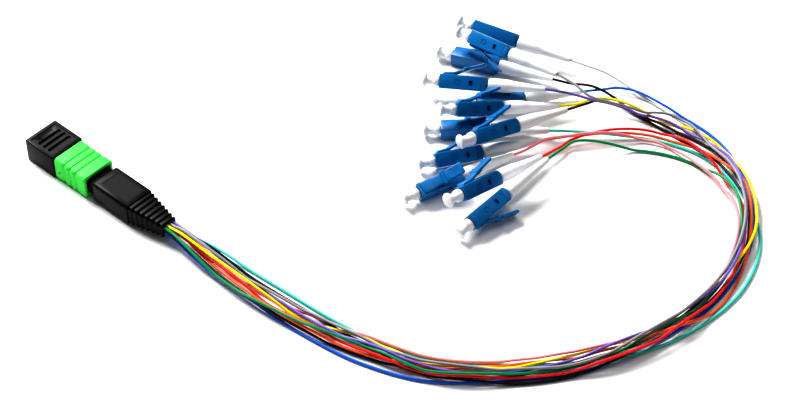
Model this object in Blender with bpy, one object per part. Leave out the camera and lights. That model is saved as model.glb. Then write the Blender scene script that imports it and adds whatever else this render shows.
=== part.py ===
"""Fibre breakout cable: a twelve-fibre ribbon plug fanned out to twelve single-fibre plugs.

Frame: metres, +Z up. The ribbon plug lies along +X with its cap at -X, and the origin is the
centre of its underside on the floor. The fibres run out at +X, turn left in one wide bend and
come back to a loose heap of small plugs.
"""
import math

import bmesh
import bpy
import numpy as np
from mathutils import Matrix, Vector

MM = 0.001

# General clearances
GAP = 0.3 * MM  # between pieces that touch
PITCH_GAP = 0.3 * MM  # between fibres that lie on each other
EDGE = 0.05 * MM  # run of a steep step in a lofted shape

# Ribbon plug: dust cap
CAP_LENGTH = 13.4 * MM
CAP_WIDTH = 13.0 * MM
CAP_HEIGHT = 8.6 * MM
CAP_END_WALL = 1.4 * MM
CAP_BEVEL = 0.6 * MM

# Ribbon plug: sliding sleeve
SLEEVE_LENGTH = 14.4 * MM
SLEEVE_WIDTH = 12.4 * MM
SLEEVE_HEIGHT = 8.2 * MM
SLEEVE_WALL = 1.2 * MM
SLEEVE_BEVEL = 1.0 * MM
SLEEVE_TRAVEL = 2.0 * MM
SLEEVE_GROOVES = 3
GROOVES_MIDDLE = 7.2 * MM  # from the sleeve's front to the middle groove
GROOVE_PITCH = 2.7 * MM
GROOVE_WIDTH = 0.5 * MM
GROOVE_DEPTH = 0.3 * MM

# Ribbon plug: body inside the sleeve, its ferrule and its boot
NOSE_LENGTH = 4.4 * MM
NECK_LENGTH = SLEEVE_TRAVEL + 2 * GAP
FERRULE_WIDTH = 6.4 * MM
FERRULE_HEIGHT = 2.5 * MM
FERRULE_PROUD = 1.2 * MM
FERRULE_DEPTH = 8.0 * MM
BODY_BEVEL = 0.5 * MM
BOOT_GRIP_LENGTH = 16.2 * MM
BOOT_GRIP_WIDTH = 11.0 * MM
BOOT_GRIP_HEIGHT = 7.8 * MM
BOOT_TAPER_LENGTH = 13.4 * MM
BOOT_END_WIDTH = 6.2 * MM
BOOT_END_HEIGHT = 5.2 * MM
BOOT_RIBS = 7
BOOT_RIB_DEPTH = 0.4 * MM
BOOT_BEVEL = 1.2 * MM

# Single-fibre plug
BODY_SIDE = 4.8 * MM
BODY_LENGTH = 16.0 * MM
CAVITY_RADIUS = 1.6 * MM
CAVITY_DEPTH = 4.4 * MM
PIN_RADIUS = 0.625 * MM
PIN_PROUD = 1.4 * MM
LATCH_WIDTH = 3.0 * MM
LATCH_THICKNESS = 1.1 * MM
LATCH_SINK = 0.6  # share of its thickness that stands above the housing at its foot
LATCH_START = 0.6 * MM
LATCH_LIFT = 4.0 * MM  # rise of a free latch from foot to tip
LATCH_PRESSED_LIFT = 1.5 * MM  # the same where a neighbour presses the latch down
LATCH_END = 14.8 * MM
PAD_WIDTH = 3.6 * MM
PAD_LENGTH = 5.4 * MM
EAR_WIDTH = 4.8 * MM
EAR_LENGTH = 1.3 * MM
TAIL_BOOT_LENGTH = 19.0 * MM
TAIL_BOOT_THICK_LENGTH = 8.0 * MM
TAIL_BOOT_RADIUS = 2.3 * MM
TAIL_BOOT_END_RADIUS = 0.95 * MM
TAIL_BOOT_RIM = 0.35 * MM
TIP_CAP_PROUD = 5.8 * MM
TIP_CAP_INSERT = 3.6 * MM
TIP_CAP_FLANGE_RADIUS = 2.4 * MM
TIP_CAP_FLANGE = 1.0 * MM
TIP_CAP_WAIST_RADIUS = 1.65 * MM
TIP_CAP_COLLAR_RADIUS = 2.1 * MM
TIP_CAP_COLLAR = 2.0 * MM
ROUND_SIDES = 12

# Fibres
FIBRE_DIAMETER = 0.9 * MM
FIBRE_SIDES_RESOLUTION = 2
FIBRE_POINTS = 64
ROUTE_SAMPLE = 1.0 * MM
EXIT_PITCH = 1.2 * MM
LEAD_OUT = 3 * MM  # straight run out of the ribbon plug's boot
LEAD_IN = 7 * MM  # straight run into a small plug's boot
SAG_RUN = 32 * MM  # length over which a fibre comes down to rest
HUMP_RADIUS = 30 * MM  # how gently a fibre rises over the one it crosses
SMOOTHING_SAMPLES = 3

# Middle line of the bundle on the floor, from the ribbon plug round to the heap (mm)
STATIONS = [
    (45.5, 0.3), (70, 1.5), (92.5, 4.7), (109, 7.8), (127, 13.6), (145, 27), (160, 45),
    (168.5, 64), (172, 84), (170.5, 103), (163.5, 121), (151, 135.5), (134, 143), (116, 142),
]

# Each leg: number and colour of the fibre, its column and row in the mouth of the boot,
# its distance outside the middle line at each station (mm), and its plug in the heap:
# middle of the plug's front (mm), heading, pitch and roll (degrees). They are listed in
# the order in which they lie on each other, the lowest first.
LEGS = [
    ("12_aqua", (0.10, 0.75, 0.75), (0, 0),
     [-4.6, -5.4, -3.7, -3.2, -3.4, -3.8, -1.0, 3.4, 6.2, 8.6, 7.0, 0.4, -2.4, -5.6],
     (62.4, 91.5, 2.75), (41.5, 0, -90)),
    ("06_white", (0.85, 0.85, 0.85), (2, 0),
     [1.4, 3.4, 2.6, 0.6, -2.0, -1.0, 0.0, 0.6, 0.4, 0.2, 0.6, 1.4, 3.0, 7.8],
     (40.2, 133.8, 7.7), (18.6, -4.7, -133)),
    ("01_blue", (0.03, 0.13, 0.75), (3, 0),
     [3.6, 4.9, 6.8, 6.6, 5.0, 2.6, 2.0, 1.4, 1.6, 1.8, 2.4, 2.4, 6.0, 9.4],
     (62.9, 109.0, 2.7), (52.0, 0, 90)),
    ("08_black", (0.02, 0.02, 0.02), (0, 1),
     [-3.0, -2.2, 0.4, 1.6, 2.8, 4.0, 3.0, 1.8, 0.6, 0.8, 1.0, -0.2, -1.2, 0.2],
     (41.2, 122.2, 2.75), (22.0, 0, -90)),
    ("04_brown", (0.16, 0.05, 0.03), (3, 1),
     [3.0, 5.8, 5.4, 4.0, 2.2, 1.0, -0.6, -1.8, -2.2, -2.0, -1.6, 0.6, 1.8, 1.6],
     (78.4, 89.5, 10.8), (71.3, -6, -43)),
    ("02_orange", (0.90, 0.22, 0.04), (2, 1),
     [2.2, 5.2, 5.0, 3.8, 0.4, -2.6, -3.0, -0.6, 3.6, 3.0, 1.5, 1.3, -1.8, -4.4],
     (71.1, 78.6, 3.5), (57.4, 0, -43)),
    ("07_red", (0.80, 0.04, 0.03), (2, 2),
     [1.8, 4.0, 4.3, 3.4, 3.4, 2.6, 2.4, 2.7, 1.8, 1.1, -0.4, -2.6, -3.0, -2.6],
     (91.0, 68.3, 9.0), (82.6, -8.8, -43)),
    ("03_green", (0.02, 0.35, 0.14), (3, 2),
     [5.3, 4.6, 2.5, 2.1, 3.6, 2.1, 0.6, -0.2, -0.6, -1.0, -1.6, -3.4, -6.0, -10],
     (98.5, 64.6, 4.1), (86.6, 6.6, 122)),
    ("09_yellow", (0.90, 0.75, 0.02), (1, 0),
     [0.0, -0.6, -1.1, -1.8, -0.6, -1.2, -3.4, -3.4, -2.6, -0.2, 2.8, 3.4, 4.2, 4.6],
     (64.5, 96.2, 10.0), (55.3, -9.5, -38)),
    ("11_rose", (0.90, 0.35, 0.40), (1, 1),
     [-0.8, -1.4, -2.6, -2.9, -3.3, -3.8, -3.6, -2.6, -2.2, -2.0, -2.6, -5.2, -7.4, -6.8],
     (76.9, 64.1, 3.4), (71.6, 0, 20)),
    ("10_violet", (0.25, 0.09, 0.60), (0, 2),
     [-1.6, 0.6, 1.2, 1.0, 1.2, 0.7, -1.6, -2.4, -1.4, 0.2, -0.4, 0.2, 2.4, 3.2],
     (49.2, 106.3, 6.5), (30.3, 4.4, -43)),
    ("05_slate", (0.35, 0.38, 0.42), (1, 2),
     [0.6, 1.4, 0.4, -0.6, -0.4, 0.4, 1.0, -0.8, -1.2, -1.2, -0.8, -0.6, 0.8, 6.2],
     (46.6, 125.4, 12.0), (2.8, 4.9, 135)),
]

PRESSED_LATCHES = ("12_aqua", "01_blue")

# Lines worked out from the sizes above
AXIS_HEIGHT = CAP_HEIGHT / 2
PLUG_LENGTH = CAP_LENGTH + GAP + SLEEVE_LENGTH + NECK_LENGTH + BOOT_GRIP_LENGTH + BOOT_TAPER_LENGTH
CAP_X = -PLUG_LENGTH / 2
SLEEVE_X = CAP_X + CAP_LENGTH + GAP
NECK_X = SLEEVE_X + SLEEVE_LENGTH
BOOT_X = NECK_X + NECK_LENGTH
BOOT_END_X = PLUG_LENGTH / 2
SLEEVE_HOLE_WIDTH = SLEEVE_WIDTH - 2 * SLEEVE_WALL
SLEEVE_HOLE_HEIGHT = SLEEVE_HEIGHT - 2 * SLEEVE_WALL
BODY_WIDTH = SLEEVE_HOLE_WIDTH - 2 * GAP
BODY_HEIGHT = SLEEVE_HOLE_HEIGHT - 2 * GAP
FIBRE_RADIUS = FIBRE_DIAMETER / 2


def clear_scene():
    for item in list(bpy.data.objects):
        bpy.data.objects.remove(item, do_unlink=True)


def material(name, colour, roughness, metallic=0.0):
    """Return the named Principled material, made on first use."""
    found = bpy.data.materials.get(name)
    if found:
        return found
    made = bpy.data.materials.new(name)
    made.use_nodes = True
    shader = made.node_tree.nodes["Principled BSDF"]
    shader.inputs["Base Color"].default_value = (*colour, 1.0)
    shader.inputs["Roughness"].default_value = roughness
    shader.inputs["Metallic"].default_value = metallic
    return made


def add_object(name, data, finish):
    made = bpy.data.objects.new(name, data)
    made.data.materials.append(finish)
    bpy.context.collection.objects.link(made)
    return made


def mesh_from(name, bm):
    bmesh.ops.recalc_face_normals(bm, faces=bm.faces)
    mesh = bpy.data.meshes.new(name)
    bm.to_mesh(mesh)
    bm.free()
    return mesh


def box_bmesh(low, high):
    """A box between two corners."""
    bm = bmesh.new()
    bmesh.ops.create_cube(bm, size=1.0)
    size = Vector(high) - Vector(low)
    centre = (Vector(high) + Vector(low)) / 2
    shape = Matrix.Translation(centre) @ Matrix.Diagonal((*size, 1.0))
    bmesh.ops.transform(bm, matrix=shape, verts=bm.verts)
    return bm


def chamfered_section(x, width, height, corner):
    """Eight points of a rectangle with cut corners, across the plug at x."""
    half_w = width / 2
    half_h = height / 2
    corners = [(half_w, half_h - corner), (half_w - corner, half_h)]
    corners += [(-y, z) for y, z in reversed(corners)]
    corners += [(-y, -z) for y, z in corners]
    return [Vector((x, y, AXIS_HEIGHT + z)) for y, z in corners]


def loft(sections):
    """A closed solid through sections that have the same number of points."""
    bm = bmesh.new()
    rings = [[bm.verts.new(point) for point in section] for section in sections]
    count = len(rings[0])
    for near, far in zip(rings, rings[1:]):
        for i in range(count):
            bm.faces.new((near[i], near[(i + 1) % count], far[(i + 1) % count], far[i]))
    bm.faces.new(rings[0])
    bm.faces.new(list(reversed(rings[-1])))
    return bm


def turned(profile, sides):
    """A closed solid of revolution about X from (x, radius) points; radius 0 ends on the axis."""
    bm = bmesh.new()
    rings = []
    for x, radius in profile:
        if radius == 0:
            rings.append([bm.verts.new((x, 0, 0))])
            continue
        angles = [2 * math.pi * i / sides for i in range(sides)]
        rings.append([bm.verts.new((x, radius * math.cos(a), radius * math.sin(a))) for a in angles])
    for near, far in zip(rings, rings[1:]):
        for i in range(sides):
            j = (i + 1) % sides
            if len(near) == 1:
                bm.faces.new((near[0], far[j], far[i]))
            elif len(far) == 1:
                bm.faces.new((near[i], near[j], far[0]))
            else:
                bm.faces.new((near[i], near[j], far[j], far[i]))
    return bm


def boolean(target, tool_bm, operation):
    """Cut or join a temporary tool and remove it again."""
    tool = bpy.data.objects.new("tool", mesh_from("tool", tool_bm))
    bpy.context.collection.objects.link(tool)
    modifier = target.modifiers.new("shape", "BOOLEAN")
    modifier.operation = operation
    modifier.object = tool
    bpy.context.view_layer.update()
    evaluated = target.evaluated_get(bpy.context.evaluated_depsgraph_get())
    shaped = bpy.data.meshes.new_from_object(evaluated)
    target.modifiers.clear()
    target.data = shaped
    bpy.data.objects.remove(tool, do_unlink=True)


def make_ribbon_cap():
    """Dust cap: a rectangular cup over the nose, open towards the sleeve."""
    finish = material("black_plastic", (0.02, 0.02, 0.022), 0.45)
    far = CAP_X + CAP_LENGTH
    outer = loft([
        chamfered_section(CAP_X, CAP_WIDTH - 2 * CAP_BEVEL, CAP_HEIGHT - 2 * CAP_BEVEL, CAP_BEVEL / 2),
        chamfered_section(CAP_X + CAP_BEVEL, CAP_WIDTH, CAP_HEIGHT, CAP_BEVEL / 2),
        chamfered_section(far, CAP_WIDTH, CAP_HEIGHT, CAP_BEVEL / 2),
    ])
    cap = add_object("ribbon_plug_cap", mesh_from("ribbon_plug_cap", outer), finish)
    half_w = BODY_WIDTH / 2 + GAP
    half_h = BODY_HEIGHT / 2 + GAP
    hollow = box_bmesh((CAP_X + CAP_END_WALL, -half_w, AXIS_HEIGHT - half_h),
                       (far + GAP, half_w, AXIS_HEIGHT + half_h))
    boolean(cap, hollow, "DIFFERENCE")


def make_sleeve():
    """Green coupling sleeve, hollow right through, with grip grooves on top and below."""
    finish = material("green_plastic", (0.09, 0.75, 0.10), 0.4)
    shape = loft([chamfered_section(x, SLEEVE_WIDTH, SLEEVE_HEIGHT, SLEEVE_BEVEL)
                  for x in (SLEEVE_X, NECK_X)])
    sleeve = add_object("coupling_sleeve", mesh_from("coupling_sleeve", shape), finish)
    half_w = SLEEVE_HOLE_WIDTH / 2
    half_h = SLEEVE_HOLE_HEIGHT / 2
    hollow = box_bmesh((SLEEVE_X - GAP, -half_w, AXIS_HEIGHT - half_h),
                       (NECK_X + GAP, half_w, AXIS_HEIGHT + half_h))
    boolean(sleeve, hollow, "DIFFERENCE")
    middle = SLEEVE_X + GROOVES_MIDDLE
    for number in range(SLEEVE_GROOVES):
        x = middle + (number - (SLEEVE_GROOVES - 1) / 2) * GROOVE_PITCH
        for side in (-1, 1):
            face = AXIS_HEIGHT + side * SLEEVE_HEIGHT / 2
            groove = box_bmesh((x - GROOVE_WIDTH / 2, -SLEEVE_WIDTH, face - GROOVE_DEPTH),
                               (x + GROOVE_WIDTH / 2, SLEEVE_WIDTH, face + GROOVE_DEPTH))
            boolean(sleeve, groove, "DIFFERENCE")


def make_body():
    """Plug body: nose in front of the sleeve, shank inside it and neck behind it."""
    finish = material("black_plastic", (0.02, 0.02, 0.022), 0.45)
    front = SLEEVE_X - NOSE_LENGTH
    shape = loft([chamfered_section(x, BODY_WIDTH, BODY_HEIGHT, BODY_BEVEL)
                  for x in (front, BOOT_X - GAP)])
    body = add_object("ribbon_plug_body", mesh_from("ribbon_plug_body", shape), finish)
    half_w = FERRULE_WIDTH / 2 + GAP
    half_h = FERRULE_HEIGHT / 2 + GAP
    pocket = box_bmesh((front - GAP, -half_w, AXIS_HEIGHT - half_h),
                       (front + FERRULE_DEPTH + GAP, half_w, AXIS_HEIGHT + half_h))
    boolean(body, pocket, "DIFFERENCE")


def make_ferrule():
    """Rectangular ferrule that carries the twelve fibre ends."""
    finish = material("ferrule", (0.10, 0.10, 0.11), 0.35)
    front = SLEEVE_X - NOSE_LENGTH
    half_w = FERRULE_WIDTH / 2
    half_h = FERRULE_HEIGHT / 2
    shape = box_bmesh((front - FERRULE_PROUD, -half_w, AXIS_HEIGHT - half_h),
                      (front + FERRULE_DEPTH, half_w, AXIS_HEIGHT + half_h))
    add_object("ribbon_ferrule", mesh_from("ribbon_ferrule", shape), finish)


def make_ribbed_boot():
    """Black boot: a flat grip, then a taper with ribs across it."""
    finish = material("black_rubber", (0.018, 0.018, 0.02), 0.6)
    taper_x = BOOT_X + BOOT_GRIP_LENGTH
    sections = [chamfered_section(BOOT_X, BOOT_GRIP_WIDTH, BOOT_GRIP_HEIGHT, BOOT_BEVEL),
                chamfered_section(taper_x, BOOT_GRIP_WIDTH, BOOT_GRIP_HEIGHT, BOOT_BEVEL)]
    rib_pitch = BOOT_TAPER_LENGTH / BOOT_RIBS

    def taper(x, depth):
        share = (x - taper_x) / BOOT_TAPER_LENGTH
        width = BOOT_GRIP_WIDTH + share * (BOOT_END_WIDTH - BOOT_GRIP_WIDTH) - 2 * depth
        height = BOOT_GRIP_HEIGHT + share * (BOOT_END_HEIGHT - BOOT_GRIP_HEIGHT) - 2 * depth
        return chamfered_section(x, width, height, BOOT_BEVEL)

    for number in range(BOOT_RIBS):
        start = taper_x + number * rib_pitch
        groove = 0.45 * rib_pitch
        sections.append(taper(start + EDGE, BOOT_RIB_DEPTH))
        sections.append(taper(start + groove, BOOT_RIB_DEPTH))
        sections.append(taper(start + groove + EDGE, 0))
        sections.append(taper(start + rib_pitch, 0))
    add_object("ribbed_boot", mesh_from("ribbed_boot", loft(sections)), finish)


def latch_section(x, width, lift):
    """Four points across the sloping latch arm, at a distance from the front."""
    slope = lift / (LATCH_END - LATCH_START)
    upper = BODY_SIDE / 2 + LATCH_SINK * LATCH_THICKNESS + slope * (x - LATCH_START)
    lower = upper - LATCH_THICKNESS
    half = width / 2
    corners = [(-half, lower), (half, lower), (half, upper), (-half, upper)]
    return [Vector((x, y, z)) for y, z in corners]


def plug_body_mesh(lift):
    """Square housing with its springy latch, front cavity and pin, about its own axis."""
    half = BODY_SIDE / 2
    shell = add_object("shape", mesh_from("shape", box_bmesh((0, -half, -half), (BODY_LENGTH, half, half))),
                       material("blue_plastic", (0.0, 0.11, 0.40), 0.4))
    pad = LATCH_END - PAD_LENGTH
    ear = pad - EAR_LENGTH
    outline = [(LATCH_START, LATCH_WIDTH), (ear, LATCH_WIDTH), (ear + EDGE, EAR_WIDTH), (pad, EAR_WIDTH),
               (pad + EDGE, PAD_WIDTH), (LATCH_END, PAD_WIDTH)]
    boolean(shell, loft([latch_section(x, width, lift) for x, width in outline]), "UNION")
    cavity = turned([(-GAP, 0), (-GAP, CAVITY_RADIUS), (CAVITY_DEPTH, CAVITY_RADIUS), (CAVITY_DEPTH, 0)],
                    ROUND_SIDES)
    boolean(shell, cavity, "DIFFERENCE")
    pin = turned([(-PIN_PROUD, 0), (-PIN_PROUD, PIN_RADIUS), (CAVITY_DEPTH + GAP, PIN_RADIUS),
                  (CAVITY_DEPTH + GAP, 0)], ROUND_SIDES)
    boolean(shell, pin, "UNION")
    mesh = shell.data
    mesh.name = "plug_body"
    bpy.data.objects.remove(shell, do_unlink=True)
    return mesh


def tail_boot_mesh():
    start = BODY_LENGTH + GAP
    rear = start + TAIL_BOOT_LENGTH
    profile = [(start, 0), (start, TAIL_BOOT_RADIUS), (start + TAIL_BOOT_THICK_LENGTH, TAIL_BOOT_RADIUS),
               (start + TAIL_BOOT_THICK_LENGTH + 2 * MM, TAIL_BOOT_RADIUS - TAIL_BOOT_RIM),
               (rear, TAIL_BOOT_END_RADIUS), (rear, 0)]
    return mesh_from("tail_boot", turned(profile, ROUND_SIDES))


def tip_cap_mesh():
    """White spool-shaped cap whose stem goes into the housing, over the pin."""
    stem = CAVITY_RADIUS - GAP
    bore = PIN_RADIUS + GAP
    profile = [
        (-TIP_CAP_PROUD, 0), (-TIP_CAP_PROUD, TIP_CAP_FLANGE_RADIUS),
        (-TIP_CAP_PROUD + TIP_CAP_FLANGE, TIP_CAP_FLANGE_RADIUS),
        (-TIP_CAP_PROUD + TIP_CAP_FLANGE, TIP_CAP_WAIST_RADIUS),
        (-TIP_CAP_COLLAR, TIP_CAP_WAIST_RADIUS), (-TIP_CAP_COLLAR, TIP_CAP_COLLAR_RADIUS),
        (-GAP, TIP_CAP_COLLAR_RADIUS), (-GAP, stem), (TIP_CAP_INSERT, stem), (TIP_CAP_INSERT, bore),
        (-PIN_PROUD - GAP, bore), (-PIN_PROUD - GAP, 0),
    ]
    return mesh_from("tip_cap", turned(profile, ROUND_SIDES))


def plug_matrix(front, angles):
    heading, pitch, roll = (math.radians(a) for a in angles)
    place = Matrix.Translation(Vector(front) * MM)
    return (place @ Matrix.Rotation(heading, 4, "Z") @ Matrix.Rotation(-pitch, 4, "Y")
            @ Matrix.Rotation(roll, 4, "X"))


def smooth_curve(points, spacing):
    """Points at an even spacing along a smooth curve through the given ones."""
    pts = [2 * points[0] - points[1], *points, 2 * points[-1] - points[-2]]
    dense = []
    for a, b, c, d in zip(pts, pts[1:], pts[2:], pts[3:]):
        k0, k1, k2 = (math.sqrt(np.linalg.norm(q - p)) for p, q in ((a, b), (b, c), (c, d)))
        for t in np.linspace(0, 1, 24, endpoint=False):
            u = k0 + t * k1
            ab = ((k0 - u) * a + u * b) / k0
            bc = ((k0 + k1 - u) * b + (u - k0) * c) / k1
            cd = ((k0 + k1 + k2 - u) * c + (u - k0 - k1) * d) / k2
            abc = ((k0 + k1 - u) * ab + u * bc) / (k0 + k1)
            bcd = ((k0 + k1 + k2 - u) * bc + (u - k0) * cd) / (k1 + k2)
            dense.append(((k0 + k1 - u) * abc + (u - k0) * bcd) / k1)
    dense.append(points[-1])
    dense = np.array(dense)
    run = np.concatenate([[0], np.cumsum(np.linalg.norm(np.diff(dense, axis=0), axis=1))])
    even = np.linspace(0, run[-1], max(2, round(run[-1] / spacing) + 1))
    return np.stack([np.interp(even, run, dense[:, axis]) for axis in range(dense.shape[1])], axis=1)


def plan_route(column, lanes, tail, direction):
    """Seen from above: out of the boot, along the stations, into the small plug's boot."""
    middle = np.array(STATIONS, float) * MM
    ahead = np.gradient(middle, axis=0)
    ahead /= np.linalg.norm(ahead, axis=1)[:, None]
    outside = np.stack([ahead[:, 1], -ahead[:, 0]], axis=1)
    side = -(column - 1.5) * EXIT_PITCH
    start = np.array([BOOT_END_X + GAP, side])
    points = [start, start + [LEAD_OUT, 0]]
    points += list(middle + outside * (np.array(lanes) * MM)[:, None])
    points += [tail + 2 * LEAD_IN * direction, tail + LEAD_IN * direction, tail]
    return smooth_curve(points, ROUTE_SAMPLE)


def ease(share):
    """Falls smoothly from 1 to 0 as share goes from 0 to 1."""
    t = np.clip(share, 0, 1)
    return (1 - t) ** 2 * (1 + 2 * t)


def own_heights(plan, start_height, end_height, end_slope):
    """Heights of a fibre that comes down to the floor from both its ends."""
    run = run_along(plan)
    left = run[-1] - run
    rest = FIBRE_RADIUS + GAP / 2
    height = rest + (start_height - rest) * ease(run / SAG_RUN)
    height += (end_height - rest) * ease(left / SAG_RUN)
    share = np.clip(left / SAG_RUN, 0, 1)
    return height + end_slope * SAG_RUN * share * (1 - share) ** 2


def run_along(plan):
    return np.concatenate([[0], np.cumsum(np.linalg.norm(np.diff(plan, axis=0), axis=1))])


def lay_fibres(plans, heights):
    """Lay the fibres down in turn, each in low long humps over those that it crosses."""
    reach = FIBRE_DIAMETER + PITCH_GAP
    window = np.ones(SMOOTHING_SAMPLES) / SMOOTHING_SAMPLES
    edge = SMOOTHING_SAMPLES // 2
    laid = []
    for plan, height in zip(plans, heights):
        run = run_along(plan)
        needed = height.copy()
        for under in laid:
            apart = np.linalg.norm(plan[:, None] - under[None, :, :2], axis=2)
            lift = np.sqrt(np.maximum(reach ** 2 - apart ** 2, 0))
            needed = np.maximum(needed, np.where(apart < reach, under[:, 2] + lift, 0).max(axis=1))
        along = np.abs(run[:, None] - run[None, :])
        hump = (needed[None, :] - along ** 2 / (2 * HUMP_RADIUS)).max(axis=1)
        smooth = np.convolve(np.pad(hump, edge, "edge"), window, "valid")
        ends = np.maximum(ease(run / LEAD_OUT), ease((run[-1] - run) / LEAD_IN))
        laid.append(np.column_stack([plan, smooth * (1 - ends) + height * ends]))
    return laid


def fibre_curve(name, path, finish):
    data = bpy.data.curves.new(name, "CURVE")
    data.dimensions = "3D"
    data.bevel_depth = FIBRE_RADIUS
    data.bevel_resolution = FIBRE_SIDES_RESOLUTION
    data.use_fill_caps = True
    picks = np.linspace(0, len(path) - 1, FIBRE_POINTS)
    spline = data.splines.new("POLY")
    spline.points.add(FIBRE_POINTS - 1)
    for point, pick in zip(spline.points, picks):
        low = int(pick)
        high = min(low + 1, len(path) - 1)
        place = path[low] + (pick - low) * (path[high] - path[low])
        point.co = (*place, 1.0)
    add_object(name, data, finish)


def make_legs():
    """The twelve legs, each a fibre with its plug, boot and cap."""
    blue = material("blue_plastic", (0.0, 0.11, 0.40), 0.4)
    white = material("white_rubber", (0.85, 0.85, 0.85), 0.5)
    free_body = plug_body_mesh(LATCH_LIFT)
    pressed_body = plug_body_mesh(LATCH_PRESSED_LIFT)
    boot = tail_boot_mesh()
    cap = tip_cap_mesh()
    plans = []
    heights = []
    for name, _, (column, row), lanes, front, angles in LEGS:
        matrix = plug_matrix(front, angles)
        body = pressed_body if name in PRESSED_LATCHES else free_body
        for part, mesh, finish in (("body", body, blue), ("boot", boot, white), ("cap", cap, white)):
            piece = add_object(f"plug_{part}_{name}", mesh.copy(), finish)
            piece.matrix_world = matrix
        tail = matrix @ Vector((BODY_LENGTH + 2 * GAP + TAIL_BOOT_LENGTH, 0, 0))
        axis = matrix.to_3x3() @ Vector((1, 0, 0))
        plan = plan_route(column, lanes, np.array(tail[:2]), np.array(axis[:2]))
        plans.append(plan)
        heights.append(own_heights(plan, AXIS_HEIGHT + (row - 1) * EXIT_PITCH, tail[2], axis[2]))
    for leg, path in zip(LEGS, lay_fibres(plans, heights)):
        fibre_curve(f"fibre_{leg[0]}", path, material(f"fibre_{leg[0]}", leg[1], 0.35))


def main():
    clear_scene()
    make_ribbon_cap()
    make_sleeve()
    make_body()
    make_ferrule()
    make_ribbed_boot()
    make_legs()


main()
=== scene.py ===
"""Looks of the fibre breakout cable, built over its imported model.

The ribbon plug lies along +X. Twelve fibres leave it, turn left in one wide bend and end in
a loose heap of small plugs. All sizes are in metres.
"""

import math

import bmesh
import bpy
import numpy as np
from mathutils import Matrix, Vector


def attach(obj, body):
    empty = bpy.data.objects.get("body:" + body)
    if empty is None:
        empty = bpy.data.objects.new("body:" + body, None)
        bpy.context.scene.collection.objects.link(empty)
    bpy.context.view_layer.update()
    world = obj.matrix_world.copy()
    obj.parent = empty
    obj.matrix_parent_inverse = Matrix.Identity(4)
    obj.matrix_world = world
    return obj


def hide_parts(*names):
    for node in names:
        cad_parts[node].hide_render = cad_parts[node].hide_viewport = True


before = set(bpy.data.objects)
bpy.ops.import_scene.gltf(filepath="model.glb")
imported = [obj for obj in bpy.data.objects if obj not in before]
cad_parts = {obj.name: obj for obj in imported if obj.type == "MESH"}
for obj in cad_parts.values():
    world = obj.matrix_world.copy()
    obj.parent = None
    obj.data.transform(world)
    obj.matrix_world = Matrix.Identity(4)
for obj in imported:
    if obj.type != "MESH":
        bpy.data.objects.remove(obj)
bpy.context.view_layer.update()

MM = 0.001
GAP = 0.3 * MM
QUARTER_TURN = math.pi / 2

# Ribbon plug: sizes of the model
CAP_LENGTH = 13.4 * MM
CAP_WIDTH = 13.0 * MM
CAP_HEIGHT = 8.6 * MM
CAP_END_WALL = 1.4 * MM
SLEEVE_LENGTH = 14.4 * MM
SLEEVE_WIDTH = 12.4 * MM
SLEEVE_HEIGHT = 8.2 * MM
SLEEVE_WALL = 1.2 * MM
NOSE_LENGTH = 4.4 * MM
NECK_LENGTH = 2.6 * MM
FERRULE_WIDTH = 6.4 * MM
FERRULE_HEIGHT = 2.5 * MM
FERRULE_PROUD = 1.2 * MM
FERRULE_DEPTH = 8.0 * MM
BOOT_GRIP_LENGTH = 16.2 * MM
BOOT_GRIP_WIDTH = 11.0 * MM
BOOT_GRIP_HEIGHT = 7.8 * MM
BOOT_TAPER_LENGTH = 13.4 * MM
BOOT_END_WIDTH = 6.2 * MM
BOOT_END_HEIGHT = 5.2 * MM
BOOT_RIBS = 7
BOOT_RIB_DEPTH = 0.4 * MM
CAP_GROOVES = (5.1 * MM, 7.4 * MM, 9.7 * MM)
SLEEVE_GROOVES = (4.5 * MM, 7.2 * MM, 9.9 * MM)

AXIS_HEIGHT = CAP_HEIGHT / 2
PLUG_LENGTH = (CAP_LENGTH + GAP + SLEEVE_LENGTH + NECK_LENGTH + BOOT_GRIP_LENGTH
               + BOOT_TAPER_LENGTH)
CAP_X = -PLUG_LENGTH / 2
SLEEVE_X = CAP_X + CAP_LENGTH + GAP
NECK_X = SLEEVE_X + SLEEVE_LENGTH
BOOT_X = NECK_X + NECK_LENGTH
BOOT_END_X = PLUG_LENGTH / 2
HOLE_WIDTH = SLEEVE_WIDTH - 2 * SLEEVE_WALL
HOLE_HEIGHT = SLEEVE_HEIGHT - 2 * SLEEVE_WALL
BODY_WIDTH = HOLE_WIDTH - 2 * GAP
BODY_HEIGHT = HOLE_HEIGHT - 2 * GAP

# Ribbon plug: finer shapes, drawn only here
CAP_CORNER = 0.45 * MM
CAP_FRONT_BOW = 0.4 * MM
CAP_HOLE_CORNER = 0.3 * MM
PANEL_X = 6.95 * MM
PANEL_DEPTH = 0.28 * MM
GROOVE_HALF_LENGTH = 4.7 * MM
GROOVE_RADIUS = 0.72 * MM
SCOOP_X = 3.3 * MM
SCOOP_HALF_LENGTH = 4.3 * MM
SCOOP_RADIUS = 2.4 * MM
SLEEVE_STATIONS = 145
SLEEVE_CORNER = 1.15 * MM
SLEEVE_END_RADIUS = 0.3 * MM
SLEEVE_END_RUN = 0.45 * MM
SIDE_GROOVE_DEPTH = 0.42 * MM
SIDE_GROOVE_REACH = 1.35 * MM
TOP_LINE_DEPTH = 0.46 * MM
TOP_LINE_REACH = 0.30 * MM
DOT_RADIUS = 0.42 * MM
CORE_CORNER = 0.5 * MM
GUIDE_HOLE_RADIUS = 0.35 * MM
GUIDE_HOLE_OFFSET = 2.3 * MM
FIBRE_END_RADIUS = 0.0625 * MM
FIBRE_END_PITCH = 0.25 * MM
BOOT_CORNER = 1.1 * MM
PLATE_X = 8.6 * MM
PLATE_DEPTH = 0.1 * MM

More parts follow.
